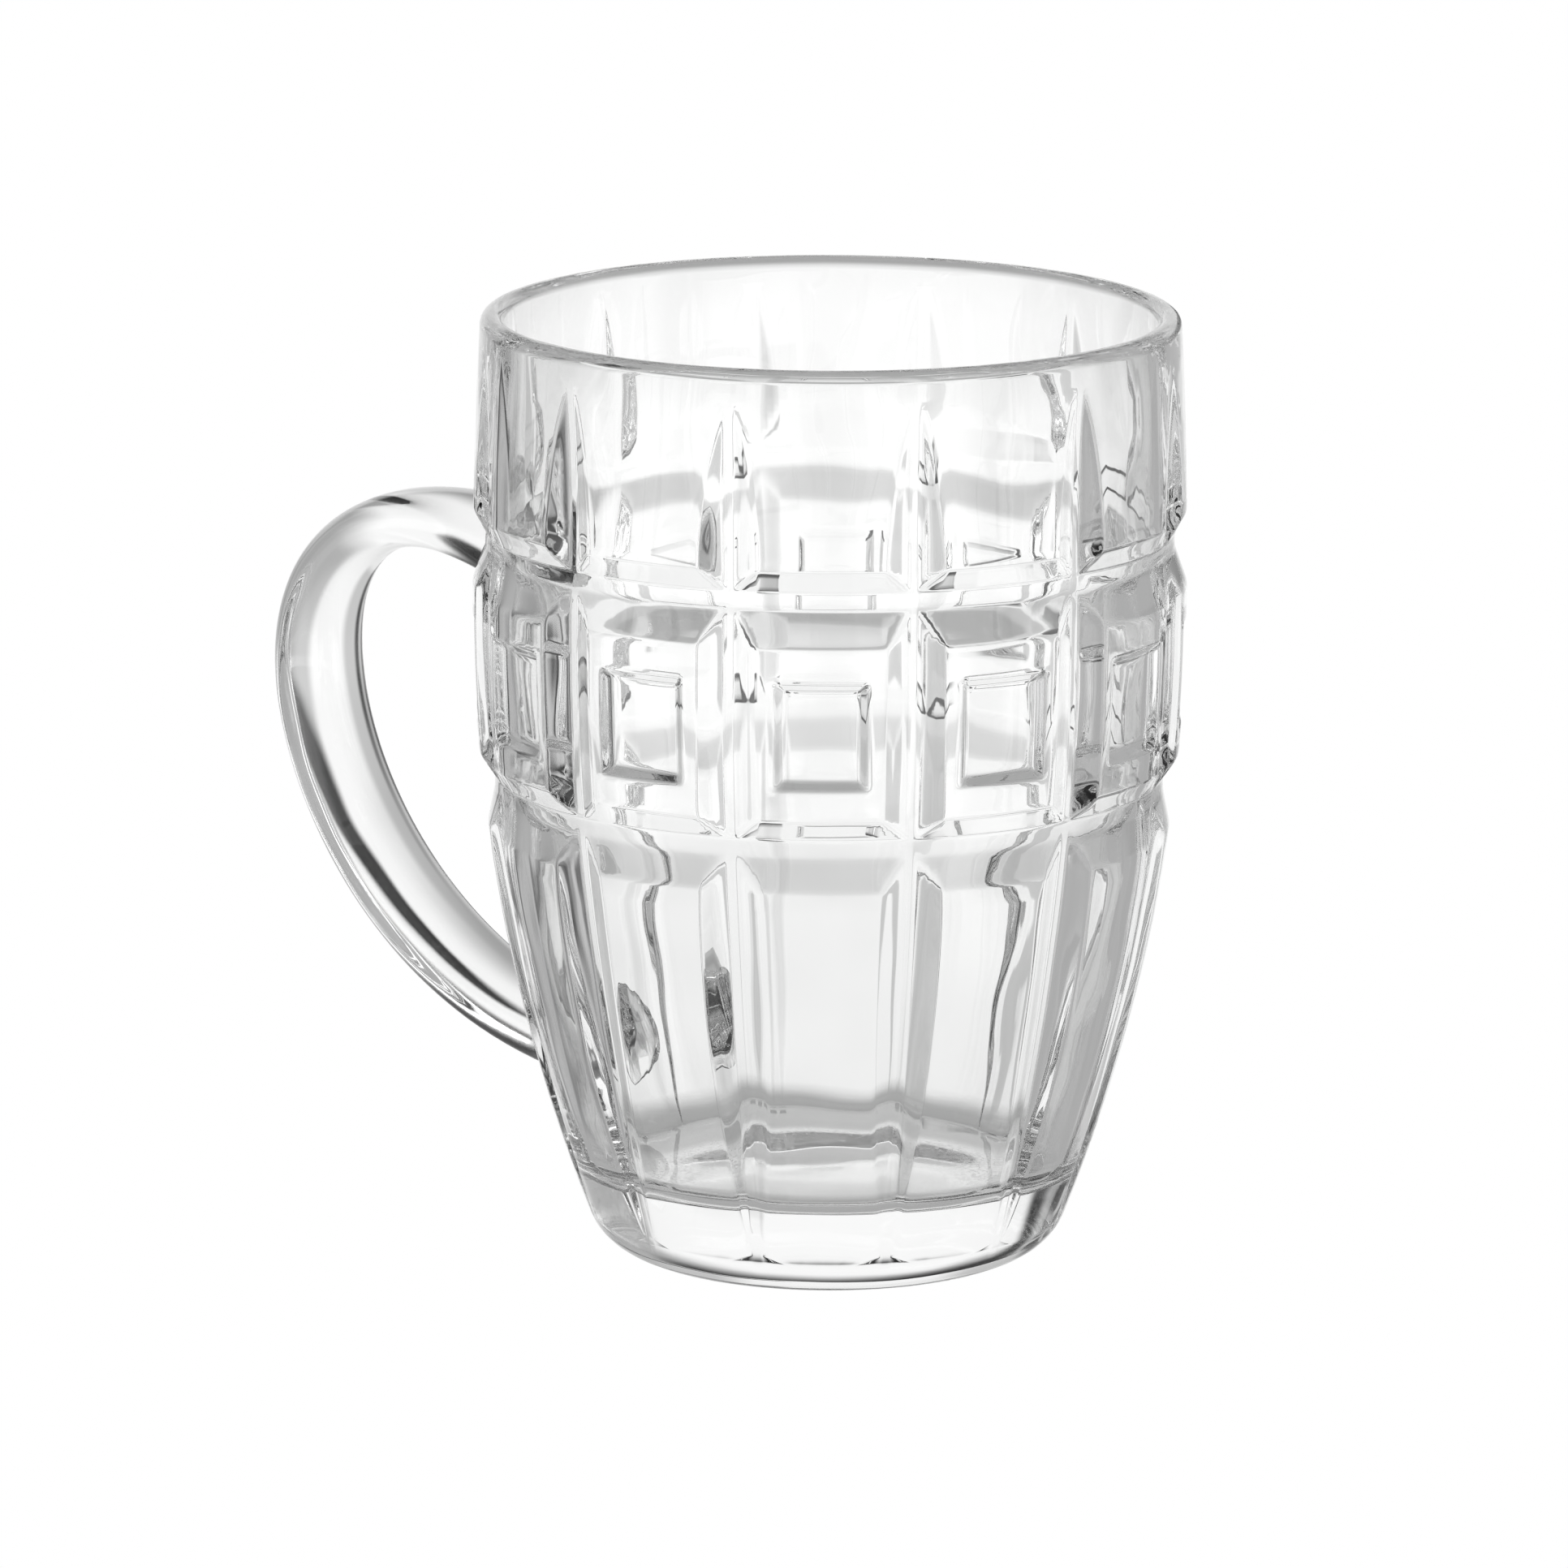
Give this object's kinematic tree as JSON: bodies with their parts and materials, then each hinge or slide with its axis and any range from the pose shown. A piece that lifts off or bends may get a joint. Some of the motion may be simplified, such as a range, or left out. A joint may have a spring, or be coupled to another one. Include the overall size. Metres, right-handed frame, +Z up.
{
  "type": "dimpled glass beer mug",
  "caption": "Thick-walled pressed-glass beer mug: a barrel-shaped bowl with a grid of bevelled panels and sunk squares, and a bowed handle at one side.",
  "frame": {"origin": "centre of the foot ring, on the surface that the mug stands on", "axes": "+Z up along the bowl's axis, and the handle points along -X"},
  "size_m": [0.1379, 0.0972, 0.13],
  "materials": {
    "glass": "clear fire-polished soda-lime glass with faint waves from the mould"
  },
  "bodies": {
    "root": {"bowl": "glass", "handle": "glass"}
  },
  "joints": []
}
